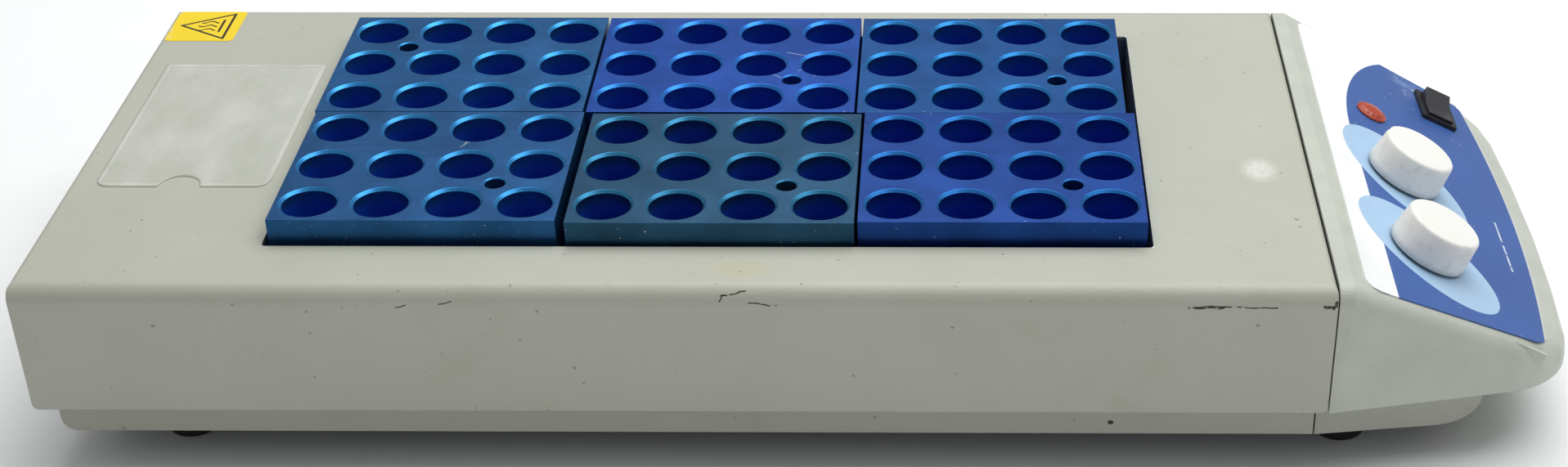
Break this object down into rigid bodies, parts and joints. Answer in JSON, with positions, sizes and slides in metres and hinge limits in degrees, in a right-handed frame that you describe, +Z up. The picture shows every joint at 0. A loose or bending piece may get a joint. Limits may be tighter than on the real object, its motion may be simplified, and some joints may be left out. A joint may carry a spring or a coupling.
{
  "type": "dry block heater",
  "caption": "Bench dry block heater: lift-out bored aluminium blocks sit in a heated well in a low sheet-metal body with a sloped control end, two rotary knobs and a rocker switch",
  "frame": {"origin": "centre of the bounding box's underside, on the surface that the feet stand on", "axes": "+X along the body towards the control end, +Y across the body, +Z up"},
  "size_m": [0.5156, 0.2094, 0.08],
  "materials": {
    "cover_paint": "fine-textured powder coat, scuffed along the bends",
    "base_paint": "fine-textured powder coat, darker",
    "black_paint": "matt black paint",
    "bare_aluminium": "mill finish",
    "zinc_steel": "zinc-plated steel",
    "foot_rubber": "matt black rubber",
    "silicone_mat": "moulded silicone",
    "fibre": "pressed mineral fibre",
    "black_plastic": "moulded, matt",
    "brown_wire": "wire insulation",
    "white_wire": "woven glass sleeve",
    "white_nylon": "moulded nylon",
    "brass_stud": "turned brass",
    "housing_plastic": "fine-textured moulded plastic",
    "base_plastic": "fine-textured moulded plastic, darker",
    "panel_print": "printed film, satin",
    "board_green": "laminate with solder mask",
    "terminal_green": "moulded",
    "control_grey": "moulded phenolic",
    "lamp_red": "translucent lens",
    "switch_black": "moulded, satin",
    "rocker_black": "moulded, satin",
    "knob_ivory": "moulded, worn",
    "anodised_a": "blue anodised, satin",
    "anodised_b": "violet-blue anodised, satin",
    "anodised_c": "blue anodised, satin",
    "anodised_d": "teal-grey anodised, satin",
    "anodised_e": "blue anodised, satin",
    "anodised_f": "deep blue anodised, satin",
    "label_yellow": "printed film label",
    "clear_film": "clear flexible film"
  },
  "bodies": {
    "chassis": {"top_cover": "cover_paint", "rear_end_panel": "cover_paint", "well_liner": "bare_aluminium", "base_pan": "base_paint", "bottom_plate": "black_paint", "cover_clips": "zinc_steel", "clip_screws": "zinc_steel", "feet": "foot_rubber", "foot_screws": "zinc_steel", "heater_plate": "bare_aluminium", "heater_mat": "silicone_mat", "plate_posts": "zinc_steel", "plate_screws": "zinc_steel", "insulation_pad": "fibre", "side_insulation": "fibre", "temperature_sensor": "zinc_steel", "sensor_clamp": "bare_aluminium", "thermal_cutout": "black_plastic", "power_inlet": "black_plastic", "fuse_holder": "black_plastic", "mains_wires": "brown_wire", "heater_wires": "white_wire", "wire_clips": "white_nylon", "earth_stud": "brass_stud", "control_housing": "housing_plastic", "control_base": "base_plastic", "housing_screws": "zinc_steel", "control_overlay": "panel_print", "control_board": "board_green", "board_standoffs": "brass_stud", "terminal_block": "terminal_green", "triac_heatsink": "bare_aluminium", "thermostat_high": "control_grey", "thermostat_low": "control_grey", "thermostat_nuts": "zinc_steel", "pilot_lens": "lamp_red", "pilot_body": "black_plastic", "switch_housing": "switch_black", "heat_symbol_label": "label_yellow", "card_pocket": "clear_film"},
    "block_back_left": {"block_back_left": "anodised_a"},
    "block_back_middle": {"block_back_middle": "anodised_b"},
    "block_back_right": {"block_back_right": "anodised_c"},
    "block_front_left": {"block_front_left": "anodised_d"},
    "block_front_middle": {"block_front_middle": "anodised_e"},
    "block_front_right": {"block_front_right": "anodised_f"},
    "knob_high_turn": {"knob_high": "knob_ivory", "shaft_high": "zinc_steel"},
    "knob_low_turn": {"knob_low": "knob_ivory", "shaft_low": "zinc_steel"},
    "rocker": {"switch_rocker": "rocker_black"}
  },
  "joints": [
    {"name": "block_back_left_lift", "type": "slide", "parent": "chassis", "child": "block_back_left", "axis": [0, 0, 1], "range_m": [0, 0.05]},
    {"name": "block_back_middle_lift", "type": "slide", "parent": "chassis", "child": "block_back_middle", "axis": [0, 0, 1], "range_m": [0, 0.05]},
    {"name": "block_back_right_lift", "type": "slide", "parent": "chassis", "child": "block_back_right", "axis": [0, 0, 1], "range_m": [0, 0.05]},
    {"name": "block_front_left_lift", "type": "slide", "parent": "chassis", "child": "block_front_left", "axis": [0, 0, 1], "range_m": [0, 0.05]},
    {"name": "block_front_middle_lift", "type": "slide", "parent": "chassis", "child": "block_front_middle", "axis": [0, 0, 1], "range_m": [0, 0.05]},
    {"name": "block_front_right_lift", "type": "slide", "parent": "chassis", "child": "block_front_right", "axis": [0, 0, 1], "range_m": [0, 0.05]},
    {"name": "knob_high_hinge", "type": "hinge", "parent": "chassis", "child": "knob_high_turn", "pos_m": [0.20595, -0.0032, 0.05683], "axis": [0.4384, 0, 0.8988], "range_deg": [-150, 150]},
    {"name": "knob_low_hinge", "type": "hinge", "parent": "chassis", "child": "knob_low_turn", "pos_m": [0.20595, -0.0553, 0.05683], "axis": [0.4384, 0, 0.8988], "range_deg": [-150, 150]},
    {"name": "rocker_hinge", "type": "hinge", "parent": "chassis", "child": "rocker", "pos_m": [0.23088, 0.069, 0.04523], "axis": [-0.8988, 0, 0.4384], "range_deg": [0, 20]}
  ]
}
